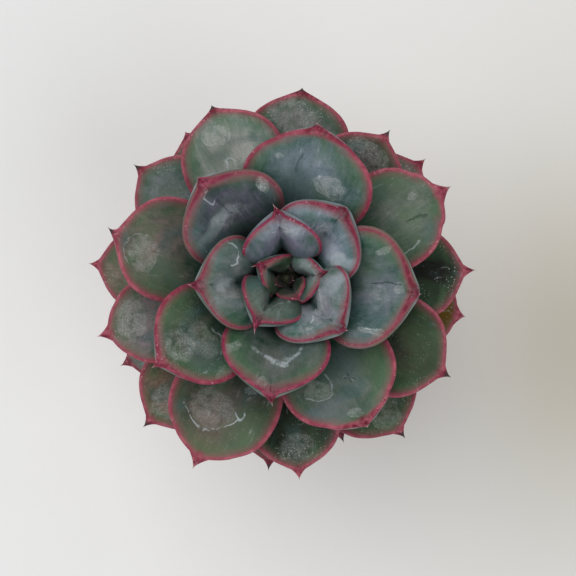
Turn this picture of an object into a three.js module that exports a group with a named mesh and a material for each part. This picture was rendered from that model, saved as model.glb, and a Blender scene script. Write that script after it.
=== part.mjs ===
// Potted hercules echeveria: a rosette of thick, pointed leaves on a short stem, planted in
// potting soil in a plain clay pot. Millimetres, +Z up, with the origin at the middle of the
// pot's foot. The leaves stand on a golden-angle spiral and are counted from the centre.

import * as THREE from "three";

// Pot
const POT_HEIGHT = 76;
const RIM_RADIUS = 45;
const RIM_BAND_HEIGHT = 14;
const SHOULDER_RADIUS = 42.5;
const FOOT_RADIUS = 31;
const POT_WALL = 4.5;
const POT_FLOOR = 6;
const DRAIN_RADIUS = 6;
const LIP_ROUND = 1.2;
const POT_SIDES = 64;

// Soil
const SOIL_TOP = 69;
const SOIL_RELIEF = 0.9;
const SOIL_RINGS = 9;
const STEM_HOLE_DEPTH = 24;

// Stem
const STEM_TIP_RADIUS = 0.8;
const STEM_SPREAD = 6.4;
const STEM_TAPER_LEAVES = 9;
const STEM_SIDES = 24;
const STEM_STEP = 3;
const STEM_LEAN_X = 1.2;
const STEM_LEAN_Y = 1.6;
const STEM_TIP_ABOVE = 1.6;

// Gap left between pieces that rest on each other
const SEAT_GAP = 0.3;

// Rosette
const GOLDEN_ANGLE = 137.5;
const FIRST_AZIMUTH = -19.5;
const LOWEST_LEAF_Z = 79;
const LEAF_STEP_Z = 0.95;
const LONGEST_SPINE = 3.6;
const EDGE_HALF_MIN = 0.9;
const SPINE_HALF_MIN = 0.35;
const FOLD_WIDTH = 0.22;
const GROOVE_WIDTH = 0.3;
const HUG_SHARE = 0.4;
const LARGEST_CURL = 1.35;
const LEAF_SIDES = 12;
const LEAF_STATIONS = [0, 0.12, 0.27, 0.42, 0.55, 0.67, 0.77, 0.86, 0.93, 0.975, 1];
const SPINE_STATION = 0.42;
const SPINE_STATION_WIDTH = 0.055;

// Half width of a leaf against the share of its length
const LEAF_OUTLINE = [
  [0, 0.27], [0.12, 0.37], [0.28, 0.57], [0.45, 0.84], [0.6, 0.98], [0.7, 1],
  [0.8, 0.94], [0.88, 0.79], [0.94, 0.54], [0.975, 0.31], [1, 0.14],
];

// What changes from the inner leaves to the outer ones, against the leaf's count. Rise, bow,
// fold and the spine's rise are in degrees, and the thickness is in mm.
const RISE = [
  [0, 85], [1, 84], [2, 83], [3, 79.6], [4, 76.6], [5, 69], [6, 67.5], [7, 62.8], [8, 56],
  [9, 54], [10, 49.5], [12, 43], [13, 37], [14, 35.5], [15, 31], [17, 23], [19, 18],
  [22, 15], [26, 12], [30, 9], [35, 6], [39, 3],
];
const BOW = [
  [0, -4], [2, -9], [3, -9], [4, -2.3], [5, -6], [6, -14.5], [7, -7], [8, -9.5], [9, -15.5],
  [10, -4.5], [11, -3], [12, 0], [13, -3], [14, 5], [15, 5], [16, 10], [20, 14], [39, 12],
];
const THICKNESS = [
  [0, 1.1], [2, 1.1], [3, 2.2], [4, 3], [5, 3], [6, 4.6], [7, 5], [8, 5.5], [9, 6], [10, 6.2],
  [14, 7], [17, 6.6], [20, 6], [30, 5.8], [39, 5],
];
const FOLD = [
  [0, 10], [2, 15], [3, 11.7], [4, 39.4], [5, 28], [6, 22.5], [7, 21.7], [8, 22], [9, 16.5],
  [10, 13.5], [11, 14], [12, 9.5], [13, 17.5], [14, 11], [15, 10.5], [18, 4], [39, 2],
];
const CUP = [
  [0, 0.9], [2, 0.76], [3, 0.66], [4, 0.1], [5, 0.4], [6, 0.24], [7, 0.41], [9, 0.45],
  [10, 0.7], [11, 0.47], [12, 0.5], [13, 0.65], [15, 0.65], [16, 0.75], [18, 0.85], [39, 0.9],
];
const BASE_THICKNESS = [[0, 0.5], [3, 0.32], [10, 0.35], [14, 0.5], [39, 0.5]];
const THINNING = [[0, 0.6], [3, 0.3], [10, 0.25], [14, 0.4], [18, 0.6], [39, 0.6]];

// How the flesh lies round a leaf's middle surface. Blunt leaves are full right up to the
// margin, and a groove parts the upper side into two lobes.
const SHARE_ABOVE = [[0, 0.3], [2, 0.4], [3, 0.62], [10, 0.62], [14, 0.45], [18, 0.3], [39, 0.3]];
const BLUNTNESS = [[0, 0], [3, 1], [10, 1], [14, 0.4], [18, 0], [39, 0]];
const GROOVE = [[0, 0], [2, 0.3], [3, 0.75], [10, 0.7], [14, 0.4], [20, 0.15], [39, 0.1]];

// Hollow of the outer leaves, and how the spines stand
const SPOON = [[0, 0], [8, 0.1], [12, 0.3], [20, 0.45], [39, 0.4]];
const SPINE_RISE = [[0, 80], [2, 60], [4, 30], [10, 15], [16, 20], [39, 12]];

// One row for each leaf, from the centre outwards. Turn is how far the leaf stands off its
// place on the spiral, in degrees; reach is from the stem's axis to the point, and width is
// across the widest place. Cusp widens the corner that carries the spine, hook bends the
// spine sideways, and lift raises the leaf. A row's own spine length takes the place of the
// rule's.
const LEAVES = [
  { turn: 0, reach: 2.4, width: 3.4 },
  { turn: 10, reach: 3.9, width: 5 },
  { turn: 19.4, reach: 4.5, width: 4.4 },
  { turn: 11.7, reach: 8.7, width: 12.2, spine: 2.7, hook: 1.2 },
  { turn: 2, reach: 10.9, width: 18.9, spine: 2.4, hook: 1.9 },
  { turn: -6.5, reach: 14.4, width: 21.2, spine: 3.3, hook: 1.4 },
  { turn: 0.5, reach: 19.2, width: 24.5, spine: 4.2, hook: 1.7 },
  { turn: -1.7, reach: 22.8, width: 29, spine: 3.6, hook: 1.4 },
  { turn: -2.6, reach: 24.6, width: 34, spine: 2.1, hook: 1.3 },
  { turn: 1.3, reach: 29.5, width: 32.8, spine: 3.4, hook: -0.6 },
  { turn: 3.5, reach: 28.9, width: 35, spine: 1.5, hook: 0.3 },
  { turn: -5.5, reach: 38.4, width: 37.7, spine: 3.8, hook: 1.4 },
  { turn: -0.4, reach: 40.8, width: 37.6, spine: 2.4, hook: 0.3 },
  { turn: 1.4, reach: 41.6, width: 45.5, spine: 1.7, hook: -0.6 },
  { turn: -2, reach: 48.5, width: 36 },
  { turn: -1.2, reach: 49.3, width: 45.8, spine: 2.8, cusp: 1.4, hook: 1.6 },
  { turn: -1, reach: 52, width: 41, spine: 2.2, cusp: 1.5 },
  { turn: 2, reach: 57, width: 35.5, hook: -2 },
  { turn: 4, reach: 59.5, width: 34.5, spine: 5, cusp: 1.6, lift: 0.3 },
  { turn: -4, reach: 65.2, width: 37.5, spine: 5, cusp: 1.3 },
  { turn: 2, reach: 59.5, width: 36, spine: 2.2 },
  { turn: -3, reach: 60.5, width: 35 },
  { turn: 1, reach: 61.5, width: 30, spine: 4.6, cusp: 1.3 },
  { turn: -3, reach: 58.5, width: 32 },
  { turn: -6, reach: 63, width: 31.5 },
  { turn: -1, reach: 60.5, width: 30.5 },
  { turn: -2, reach: 61.5, width: 31.5, spine: 4.4 },
  { turn: -2, reach: 64.5, width: 31 },
  { turn: -6, reach: 62.5, width: 36.5, spine: 1.8, lift: -0.4 },
  { turn: -5, reach: 63.5, width: 33.5 },
  { turn: -1, reach: 63, width: 29 },
  { turn: 3, reach: 61, width: 31 },
  { turn: 5, reach: 61, width: 27 },
  { turn: 0, reach: 58.5, width: 30, spine: 2 },
  { turn: 4, reach: 60.5, width: 32, cusp: 1.5 },
  { turn: -1, reach: 59.5, width: 32 },
  { turn: 0, reach: 55, width: 26 },
  { turn: -2, reach: 56, width: 26 },
  { turn: 0, reach: 52, width: 25 },
  { turn: 0, reach: 50, width: 24 },
];

// Colours of the plain solids
const INNER_LEAF_COLOUR = new THREE.Color(0.42, 0.42, 0.44);
const OUTER_LEAF_COLOUR = new THREE.Color(0.2, 0.29, 0.24);
const STEM_COLOUR = new THREE.Color(0.32, 0.25, 0.17);
const SOIL_COLOUR = new THREE.Color(0.09, 0.065, 0.045);
const CLAY_COLOUR = new THREE.Color(0.55, 0.27, 0.16);

function radians(degrees) {
  return (degrees * Math.PI) / 180;
}

function between(a, b, share) {
  return a + (b - a) * share;
}

function ease(x) {
  const t = Math.min(1, Math.max(0, x));
  return t * t * (3 - 2 * t);
}

// Index of the table's interval that holds x
function intervalOf(table, x) {
  let i = 0;
  while (i < table.length - 2 && x >= table[i + 1][0]) {
    i += 1;
  }
  return i;
}

// Straight lines between the table's points
function readLine(table, x) {
  const i = intervalOf(table, x);
  const share = (x - table[i][0]) / (table[i + 1][0] - table[i][0]);
  return between(table[i][1], table[i + 1][1], Math.min(1, Math.max(0, share)));
}

// A smooth curve through the table's points
function readCurve(table, x) {
  const i = intervalOf(table, x);
  const before = table[Math.max(i - 1, 0)];
  const from = table[i];
  const to = table[i + 1];
  const after = table[Math.min(i + 2, table.length - 1)];
  const span = to[0] - from[0];
  const slopeFrom = (to[1] - before[1]) / (to[0] - before[0]);
  const slopeTo = (after[1] - from[1]) / (after[0] - from[0]);
  const u = (x - from[0]) / span;
  const u2 = u * u;
  const u3 = u2 * u;
  return (2 * u3 - 3 * u2 + 1) * from[1] + (u3 - 2 * u2 + u) * span * slopeFrom
    + (3 * u2 - 2 * u3) * to[1] + (u3 - u2) * span * slopeTo;
}

// A closed skin over rings of equally many points, each ring counter-clockwise as seen from
// the last ring. The ends are drawn to a point each, or the last ring joins the first.
function skin(rings, ends) {
  const sides = rings[0].length;
  const positions = [];
  for (const ring of rings) {
    for (const point of ring) {
      positions.push(point.x, point.y, point.z);
    }
  }
  const triangles = [];
  const joins = ends ? rings.length - 1 : rings.length;
  for (let i = 0; i < joins; i += 1) {
    const low = i * sides;
    const high = ((i + 1) % rings.length) * sides;
    for (let j = 0; j < sides; j += 1) {
      const next = (j + 1) % sides;
      triangles.push(low + j, low + next, high + j);
      triangles.push(low + next, high + next, high + j);
    }
  }
  if (ends) {
    const first = rings.length * sides;
    const last = first + 1;
    const top = (rings.length - 1) * sides;
    positions.push(ends[0].x, ends[0].y, ends[0].z);
    positions.push(ends[1].x, ends[1].y, ends[1].z);
    for (let j = 0; j < sides; j += 1) {
      const next = (j + 1) % sides;
      triangles.push(next, j, first);
      triangles.push(top + j, top + next, last);
    }
  }
  const geometry = new THREE.BufferGeometry();
  geometry.setAttribute("position", new THREE.Float32BufferAttribute(positions, 3));
  geometry.setIndex(triangles);
  geometry.computeVertexNormals();
  return geometry;
}

// A level ring round the pot's axis
function levelRing(radius, z, sides) {
  const ring = [];
  for (let j = 0; j < sides; j += 1) {
    const angle = (2 * Math.PI * j) / sides;
    ring.push(new THREE.Vector3(radius * Math.cos(angle), radius * Math.sin(angle), z));
  }
  return ring;
}

// Stem: its radius where a leaf is joined, and its axis, which leans a little
function stemRadius(count) {
  return STEM_TIP_RADIUS + STEM_SPREAD * (1 - Math.exp(-count / STEM_TAPER_LEAVES));
}

function leafBaseZ(count) {
  return LOWEST_LEAF_Z + (LEAVES.length - 1 - count) * LEAF_STEP_Z;
}

function stemAxis(z) {
  const share = (z - LOWEST_LEAF_Z) / (leafBaseZ(0) - LOWEST_LEAF_Z);
  return new THREE.Vector3(STEM_LEAN_X * share, STEM_LEAN_Y * share, z);
}

function stemFootZ() {
  return SOIL_TOP - STEM_HOLE_DEPTH + SEAT_GAP;
}

function makeStem() {
  const rings = [];
  const footRadius = stemRadius(LEAVES.length);
  for (const z of [stemFootZ(), SOIL_TOP, LOWEST_LEAF_Z]) {
    const axis = z > SOIL_TOP ? stemAxis(z) : new THREE.Vector3(0, 0, z);
    rings.push(levelRing(footRadius, 0, STEM_SIDES).map((point) => point.add(axis)));
  }
  for (let count = LEAVES.length - STEM_STEP; count >= 0; count -= STEM_STEP) {
    const axis = stemAxis(leafBaseZ(count));
    rings.push(levelRing(stemRadius(count), 0, STEM_SIDES).map((point) => point.add(axis)));
  }
  const foot = new THREE.Vector3(0, 0, stemFootZ());
  const tip = stemAxis(leafBaseZ(0) + STEM_TIP_ABOVE);
  return skin(rings, [foot, tip]);
}

// Soil: fills the pot, has a low uneven top, and a plain hole that the stem stands in
function soilTopZ(x, y) {
  const lumps = Math.sin(0.31 * x + 0.8) * Math.cos(0.27 * y - 0.4);
  const crumbs = Math.sin(0.72 * x - 0.55 * y + 2.1) * 0.5;
  return SOIL_TOP + SOIL_RELIEF * (lumps + crumbs);
}

function innerPotRadius(z) {
  const share = (z - POT_FLOOR) / (POT_HEIGHT - RIM_BAND_HEIGHT - POT_FLOOR);
  return between(FOOT_RADIUS, SHOULDER_RADIUS, Math.min(1, share)) - POT_WALL;
}

function makeSoil() {
  const holeRadius = stemRadius(LEAVES.length) + SEAT_GAP;
  const holeFloor = SOIL_TOP - STEM_HOLE_DEPTH;
  const edge = SOIL_TOP - 2.5;
  const bottom = POT_FLOOR + SEAT_GAP;
  const shoulder = POT_HEIGHT - RIM_BAND_HEIGHT;
  const rings = [];
  rings.push(levelRing(innerPotRadius(bottom) - SEAT_GAP, bottom, POT_SIDES));
  rings.push(levelRing(innerPotRadius(shoulder) - SEAT_GAP, shoulder, POT_SIDES));
  rings.push(levelRing(innerPotRadius(edge) - SEAT_GAP, edge, POT_SIDES));
  for (let i = 0; i <= SOIL_RINGS; i += 1) {
    const radius = between(innerPotRadius(edge) - SEAT_GAP, holeRadius, i / SOIL_RINGS);
    const ring = levelRing(radius, 0, POT_SIDES);
    for (const point of ring) {
      point.z = soilTopZ(point.x, point.y);
    }
    rings.push(ring);
  }
  rings.push(levelRing(holeRadius, holeFloor, POT_SIDES));
  const underside = new THREE.Vector3(0, 0, bottom);
  return skin(rings, [underside, new THREE.Vector3(0, 0, holeFloor)]);
}

// Pot: a turned clay pot with a rim band, a thick floor and a drain hole
function makePot() {
  const shoulder = POT_HEIGHT - RIM_BAND_HEIGHT;
  const profile = [
    [DRAIN_RADIUS, 0],
    [FOOT_RADIUS - LIP_ROUND, 0],
    [FOOT_RADIUS, LIP_ROUND],
    [SHOULDER_RADIUS, shoulder],
    [RIM_RADIUS - LIP_ROUND, shoulder],
    [RIM_RADIUS, shoulder + LIP_ROUND],
    [RIM_RADIUS, POT_HEIGHT - LIP_ROUND],
    [RIM_RADIUS - LIP_ROUND, POT_HEIGHT],
    [innerPotRadius(POT_HEIGHT) + LIP_ROUND, POT_HEIGHT],
    [innerPotRadius(POT_HEIGHT), POT_HEIGHT - LIP_ROUND],
    [innerPotRadius(shoulder), shoulder],
    [innerPotRadius(POT_FLOOR), POT_FLOOR],
    [DRAIN_RADIUS, POT_FLOOR],
  ];
  return skin(profile.map(([radius, z]) => levelRing(radius, z, POT_SIDES)), null);
}

// The leaf's rule for its count, with the row's own values over it
function leafForm(row, count) {
  const leaf = {
    azimuth: FIRST_AZIMUTH - GOLDEN_ANGLE * count + row.turn,
    width: row.width,
    rise: readLine(RISE, count),
    bow: readLine(BOW, count),
    thickness: readLine(THICKNESS, count),
    baseThickness: readLine(BASE_THICKNESS, count),
    thinning: readLine(THINNING, count),
    fold: radians(readLine(FOLD, count)),
    spoon: readLine(SPOON, count),
    spineRise: radians(readLine(SPINE_RISE, count)),
    spine: row.spine ?? Math.min(LONGEST_SPINE, 0.8 + 0.12 * row.width),
    cusp: row.cusp ?? 1,
    cup: readLine(CUP, count),
    above: readLine(SHARE_ABOVE, count),
    groove: readLine(GROOVE, count),
    blunt: readLine(BLUNTNESS, count),
    hook: row.hook ?? 0,
    baseZ: leafBaseZ(count) + (row.lift ?? 0),
  };
  const slant = Math.sin(radians(leaf.rise - leaf.bow / 2));
  const share = Math.max(leaf.above * slant, (leaf.above - 1) * slant);
  const inward = share * leaf.baseThickness * leaf.thickness;
  leaf.baseRadius = stemRadius(count) + SEAT_GAP + inward;
  leaf.length = (row.reach - leaf.baseRadius - leaf.spine * Math.cos(leaf.spineRise))
    / runTo(leaf, 1).across;
  return leaf;
}

function riseAt(leaf, t) {
  return radians(leaf.rise + leaf.bow * (t - 0.5));
}

// How far out and up the leaf's middle line runs in the share t of its length, for length 1
function runTo(leaf, t) {
  const steps = 24;
  let across = 0;
  let up = 0;
  for (let i = 0; i < steps; i += 1) {
    const rise = riseAt(leaf, (t * (i + 0.5)) / steps);
    across += (Math.cos(rise) * t) / steps;
    up += (Math.sin(rise) * t) / steps;
  }
  return { across, up };
}

// Where the share u of the half width lies across the leaf: sideways, up, and its tilt
function acrossAt(fold, curl, u) {
  const steps = 12;
  const foldEnd = Math.tanh(1 / FOLD_WIDTH);
  let sideways = 0;
  let up = 0;
  let tilt = 0;
  for (let i = 0; i < steps; i += 1) {
    const v = (u * (i + 0.5)) / steps;
    tilt = curl * v + (fold * Math.tanh(v / FOLD_WIDTH)) / foldEnd;
    sideways += (Math.cos(tilt) * u) / steps;
    up += (Math.sin(tilt) * u) / steps;
  }
  return { sideways, up, tilt };
}

// One ring round the leaf, or round its spine where t is past 1
function leafRing(leaf, t) {
  const onSpine = Math.max(0, t - 1);
  const body = Math.min(1, t);
  const run = runTo(leaf, body);
  const rise = onSpine > 0 ? leaf.spineRise : riseAt(leaf, body);
  const radius = leaf.baseRadius + run.across * leaf.length
    + onSpine * leaf.spine * Math.cos(leaf.spineRise);
  const z = leaf.baseZ + run.up * leaf.length + onSpine * leaf.spine * Math.sin(leaf.spineRise);
  let half = (leaf.width / 2) * readCurve(LEAF_OUTLINE, body);
  half *= between(1, leaf.cusp, ease((body - 0.93) / 0.07));
  half = Math.max(half, EDGE_HALF_MIN);
  if (onSpine > 0) {
    half = Math.max((leaf.width / 2) * SPINE_STATION_WIDTH * leaf.cusp, SPINE_HALF_MIN);
  }
  const grown = ease(body / HUG_SHARE);
  const cup = between(1, leaf.cup, grown);
  const bend = (cup * Math.sin(riseAt(leaf, body))) / Math.max(radius, 3)
    + (leaf.spoon * ease(body / 0.5)) / (leaf.width / 2);
  const fold = leaf.fold * grown;
  const curl = Math.min(bend * half, LARGEST_CURL - fold);
  let thickness = leaf.thickness * between(leaf.baseThickness, 1, ease(body / 0.55));
  thickness *= 1 - leaf.thinning * ease((body - 0.55) / 0.45);
  thickness = Math.min(thickness, 1.1 * half);
  const azimuth = radians(leaf.azimuth);
  const outward = new THREE.Vector3(Math.cos(azimuth), Math.sin(azimuth), 0);
  const side = new THREE.Vector3(-Math.sin(azimuth), Math.cos(azimuth), 0);
  const normal = outward.clone().multiplyScalar(-Math.sin(rise));
  normal.z = Math.cos(rise);
  const middle = stemAxis(leaf.baseZ);
  middle.z = z;
  middle.addScaledVector(outward, radius);
  middle.addScaledVector(side, leaf.hook * onSpine ** 1.5);
  const ring = [];
  for (let j = 0; j < LEAF_SIDES; j += 1) {
    const angle = (2 * Math.PI * j) / LEAF_SIDES;
    const u = Math.cos(angle);
    const place = acrossAt(fold, curl, Math.abs(u));
    const sign = Math.sign(u);
    const lobe = (1 - Math.abs(u) ** between(2.2, 3, leaf.blunt)) ** between(1, 0.6, leaf.blunt);
    const groove = leaf.groove * Math.exp(-((u / GROOVE_WIDTH) ** 2));
    const keel = (1 - Math.abs(u) ** 2.2) ** 0.85;
    const above = Math.sin(angle) >= 0;
    const depth = above ? leaf.above * lobe * (1 - groove) : (leaf.above - 1) * keel;
    const point = middle.clone();
    point.addScaledVector(side, sign * place.sideways * half);
    point.addScaledVector(normal, place.up * half);
    point.addScaledVector(normal, Math.cos(place.tilt) * depth * thickness);
    point.addScaledVector(side, -sign * Math.sin(place.tilt) * depth * thickness);
    ring.push(point);
  }
  return { ring, middle, outward, side };
}

function makeLeaf(row, count) {
  const leaf = leafForm(row, count);
  const stations = [...LEAF_STATIONS, 1 + SPINE_STATION];
  const rings = stations.map((t) => leafRing(leaf, t).ring);
  const root = new THREE.Vector3();
  for (const point of rings[0]) {
    root.addScaledVector(point, 1 / LEAF_SIDES);
  }
  const end = leafRing(leaf, 1);
  const point = end.middle.clone();
  point.addScaledVector(end.outward, leaf.spine * Math.cos(leaf.spineRise));
  point.addScaledVector(end.side, leaf.hook);
  point.z += leaf.spine * Math.sin(leaf.spineRise);
  return skin(rings, [root, point]);
}

function piece(name, geometry, colour, roughness) {
  const material = new THREE.MeshStandardMaterial({ color: colour, roughness, metalness: 0 });
  const mesh = new THREE.Mesh(geometry, material);
  mesh.name = name;
  return mesh;
}

const group = new THREE.Group();
group.name = "potted_echeveria";
group.add(piece("pot", makePot(), CLAY_COLOUR, 0.9));
group.add(piece("soil", makeSoil(), SOIL_COLOUR, 1));
group.add(piece("stem", makeStem(), STEM_COLOUR, 0.9));
LEAVES.forEach((row, count) => {
  const colour = INNER_LEAF_COLOUR.clone().lerp(OUTER_LEAF_COLOUR, count / (LEAVES.length - 1));
  const name = `leaf_${String(count).padStart(2, "0")}`;
  group.add(piece(name, makeLeaf(row, count), colour, 0.6));
});

export default group;
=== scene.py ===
"""A potted echeveria: a rosette of thick, pointed leaves on a short stem in a clay pot.

The script follows the plant from the pot upwards: pot, soil, grit, stem, leaves. Lengths
that are measured on the plant are in millimetres and are turned to metres as they are used.
"""

import math
import random

import bmesh
import bpy
from mathutils import Matrix, Vector, noise


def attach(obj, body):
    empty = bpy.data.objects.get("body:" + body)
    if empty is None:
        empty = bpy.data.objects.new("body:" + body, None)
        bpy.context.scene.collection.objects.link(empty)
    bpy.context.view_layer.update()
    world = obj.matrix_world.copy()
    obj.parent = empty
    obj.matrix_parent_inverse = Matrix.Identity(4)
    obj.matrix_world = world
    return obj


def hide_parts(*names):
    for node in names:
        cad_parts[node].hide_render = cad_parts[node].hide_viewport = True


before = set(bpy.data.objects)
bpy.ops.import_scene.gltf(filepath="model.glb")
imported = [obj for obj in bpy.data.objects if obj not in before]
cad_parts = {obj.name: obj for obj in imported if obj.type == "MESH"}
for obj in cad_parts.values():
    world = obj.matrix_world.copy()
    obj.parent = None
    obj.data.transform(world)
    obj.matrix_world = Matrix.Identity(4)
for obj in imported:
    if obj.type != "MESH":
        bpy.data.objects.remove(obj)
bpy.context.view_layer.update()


# The view
# The plant is looked at from straight above, from about 60 cm over its leaves. The middle
# of the picture is a little off the pot's axis.

MM = 0.001
PICTURE_WIDTH_PX = 576
SENSOR_MM = 36.0
CAMERA_HEIGHT = 695 * MM
LEAF_LEVEL = 95 * MM
LEAF_LEVEL_PER_PX = 0.322 * MM
VIEW_OFF_AXIS = (1.771 * MM, -1.449 * MM)

camera_data = bpy.data.cameras.new("view_from_above")
camera_data.sensor_width = SENSOR_MM
camera_data.lens = SENSOR_MM * (CAMERA_HEIGHT - LEAF_LEVEL) / (LEAF_LEVEL_PER_PX * PICTURE_WIDTH_PX)
camera = bpy.data.objects.new("view_from_above", camera_data)
camera.location = (*VIEW_OFF_AXIS, CAMERA_HEIGHT)
bpy.context.scene.collection.objects.link(camera)
bpy.context.scene.camera = camera
bpy.context.scene.view_settings.view_transform = "Standard"


# Clay pot
# A turned flowerpot of unglazed red clay, thrown with a rim band and a drain hole. It is
# matt, paler where lime has bloomed on it, rubbed at the lip and darker with damp at the foot.

POT_HEIGHT = 76
RIM_RADIUS = 45
RIM_BAND_HEIGHT = 14
SHOULDER_RADIUS = 42.5
FOOT_RADIUS = 31
POT_WALL = 4.5
POT_FLOOR = 6
DRAIN_RADIUS = 6
LIP_ROUND = 1.6
FOOT_ROUND = 1.4
SHOULDER_ROUND = 1
DRAIN_ROUND = 0.6
CORNER_STEPS = 5
WALL_STEPS = 12
POT_STEPS = 128

# How high damp darkens the foot, and where lime and a rubbed lip start, in mm
DAMP_TOP, DAMP_FULL = 34, 12
LIME_START, LIME_FULL = 20, 60
RUB_START, RUB_FULL = 73.5, 76.2
CLAY_GRAIN = 0.9
CLAY_SPECK = 1.4
LIME_PATCH = 9
CLAY_RED = (0.46, 0.19, 0.10)
CLAY_PALE = (0.60, 0.36, 0.24)
CLAY_DARK = (0.30, 0.12, 0.07)
LIME = (0.72, 0.66, 0.58)


def sum_of(operation, turned=False):
    """A method for Tone that adds a node for this sum, with its two values turned or not."""
    def method(tone, other=0.0):
        values = {0: other, 1: tone} if turned else {0: tone, 1: other}
        return tone.finish.add("ShaderNodeMath", {"operation": operation}, values)
    return method


class Tone:
    """A value in a material, with sums that add their own nodes."""

    __add__, __radd__ = sum_of("ADD"), sum_of("ADD", True)
    __sub__, __rsub__ = sum_of("SUBTRACT"), sum_of("SUBTRACT", True)
    __truediv__, __rtruediv__ = sum_of("DIVIDE"), sum_of("DIVIDE", True)
    __mul__, __pow__, __abs__ = sum_of("MULTIPLY"), sum_of("POWER"), sum_of("ABSOLUTE")
    at_least, at_most = sum_of("MAXIMUM"), sum_of("MINIMUM")

    def __init__(self, finish, socket):
        self.finish = finish
        self.socket = socket

    def rise(self, low, high):
        """0 below low and 1 above high, with a soft step between; falls where low > high."""
        span = {"Value": self, "From Min": low, "From Max": high}
        return self.finish.add("ShaderNodeMapRange", {"interpolation_type": "SMOOTHSTEP"}, span)


class Finish:
    """A material that is put together node by node. Its spot is a place on the piece."""

    def __init__(self, name):
        self.material = bpy.data.materials.new(name)
        self.material.use_nodes = True
        self.nodes = self.material.node_tree.nodes
        self.links = self.material.node_tree.links
        self.nodes.clear()
        self.surface = self.nodes.new("ShaderNodeBsdfPrincipled")
        output = self.nodes.new("ShaderNodeOutputMaterial")
        self.links.new(self.surface.outputs[0], output.inputs["Surface"])
        self.spot = self.add("ShaderNodeTexCoord", out="Object")

    def add(self, kind, settings=None, sockets=None, out=0):
        node = self.nodes.new(kind)
        for name, value in (settings or {}).items():
            setattr(node, name, value)
        for name, value in (sockets or {}).items():
            self.feed(node.inputs[name], value)
        return Tone(self, node.outputs[out])

    def feed(self, socket, value):
        if isinstance(value, Tone):
            self.links.new(value.socket, socket)
        elif isinstance(value, tuple) and socket.type == "RGBA":
            socket.default_value = (*value, 1.0)
        else:
            socket.default_value = value

    def split(self, vector):
        node = self.nodes.new("ShaderNodeSeparateXYZ")
        self.feed(node.inputs[0], vector)
        return [Tone(self, output) for output in node.outputs]

    def stretched(self, scale):
        return self.add("ShaderNodeMapping", {}, {"Vector": self.spot, "Scale": scale})

    def cloud(self, size_mm, detail=3.0, vector=None, roughness=0.5, distortion=0.0):
        """Soft noise with spots of about this size, from 0 to 1."""
        sockets = {"Vector": vector or self.spot, "Scale": 1000.0 / size_mm, "Detail": detail}
        sockets.update({"Roughness": roughness, "Distortion": distortion})
        return self.add("ShaderNodeTexNoise", {}, sockets, out="Fac")

    def cells(self, size_mm, out="Distance"):
        """Distance from scattered points that lie about this far apart, in their spacing."""
        sockets = {"Vector": self.spot, "Scale": 1000.0 / size_mm}
        return self.add("ShaderNodeTexVoronoi", {}, sockets, out=out)

    def blend(self, share, a, b):
        """Colour a where share is 0 and colour b where it is 1."""
        settings = {"data_type": "RGBA", "clamp_factor": True}
        return self.add("ShaderNodeMix", settings, {0: share, 6: a, 7: b}, out=2)

    def measure(self, name):
        """A value that the mesh carries at its points."""
        settings = {"attribute_name": name, "attribute_type": "GEOMETRY"}
        return self.add("ShaderNodeAttribute", settings, out="Fac")

    def relief(self, height, depth_mm, under=None):
        """A bump of this depth, on top of another one where that is given."""
        sockets = {"Height": height, "Distance": depth_mm * MM}
        if under is not None:
            sockets["Normal"] = under
        return self.add("ShaderNodeBump", {}, sockets)

    def set(self, **values):
        """Fills the sockets of the surface."""
        for name, value in values.items():
            self.feed(self.surface.inputs[name.replace("_", " ")], value)
        return self.material


def clay_finish():
    clay = Finish("unglazed_clay")
    z = clay.split(clay.spot)[2]
    body = clay.blend(clay.cloud(22, 4), CLAY_RED, CLAY_PALE)
    grain = clay.cloud(CLAY_GRAIN, 4, roughness=0.7)
    body = clay.blend((grain - 0.45) * 1.6, body, CLAY_DARK)
    throwing = clay.cloud(1, 2, clay.stretched((0.04, 0.04, 0.55)))
    damp = clay.cloud(16, 3) * 0.03 + z
    body = clay.blend(damp.rise(DAMP_TOP * MM, DAMP_FULL * MM) * 0.45, body, CLAY_DARK)
    lime = clay.cloud(LIME_PATCH, 6, roughness=0.65).rise(0.54, 0.74)
    limed = lime * z.rise(LIME_START * MM, LIME_FULL * MM)
    body = clay.blend(limed * 0.55, body, LIME)
    body = clay.blend(z.rise(RUB_START * MM, RUB_FULL * MM) * 0.35, body, CLAY_PALE)
    speck = clay.cells(CLAY_SPECK).rise(0.16, 0.05)
    body = clay.blend(speck * 0.5, body, CLAY_DARK)
    bump = clay.relief(grain * 0.35 + throwing * 0.8 + speck * -0.3, 0.25)
    return clay.set(
        Base_Color=body, Roughness=0.80 + grain * 0.15, Normal=bump, Specular_IOR_Level=0.3
    )


def spin_outline(outline, steps):
    """A closed outline of radii and heights, spun once round the axis."""
    mesh = bmesh.new()
    points = [mesh.verts.new((radius * MM, 0, z * MM)) for radius, z in outline]
    edges = [mesh.edges.new((a, b)) for a, b in zip(points, points[1:] + points[:1])]
    bmesh.ops.spin(
        mesh, geom=points + edges, cent=(0, 0, 0), axis=(0, 0, 1), angle=math.tau,
        steps=steps, use_merge=True, use_duplicate=False,
    )
    bmesh.ops.remove_doubles(mesh, verts=mesh.verts, dist=0.00001)
    bmesh.ops.recalc_face_normals(mesh, faces=mesh.faces)
    return mesh


def shown(name, mesh, material, smooth=True):
    """Turns the bmesh into an object that carries this material."""
    for face in mesh.faces:
        face.smooth = smooth
    data = bpy.data.meshes.new(name)
    mesh.to_mesh(data)
    mesh.free()
    data.materials.append(material)
    piece = bpy.data.objects.new(name, data)
    bpy.context.scene.collection.objects.link(piece)
    return piece


def finished(name, mesh, material, smooth=True):
    """A piece of the plant or its pot."""
    piece = shown(name, mesh, material, smooth)
    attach(piece, "root")
    return piece


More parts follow.
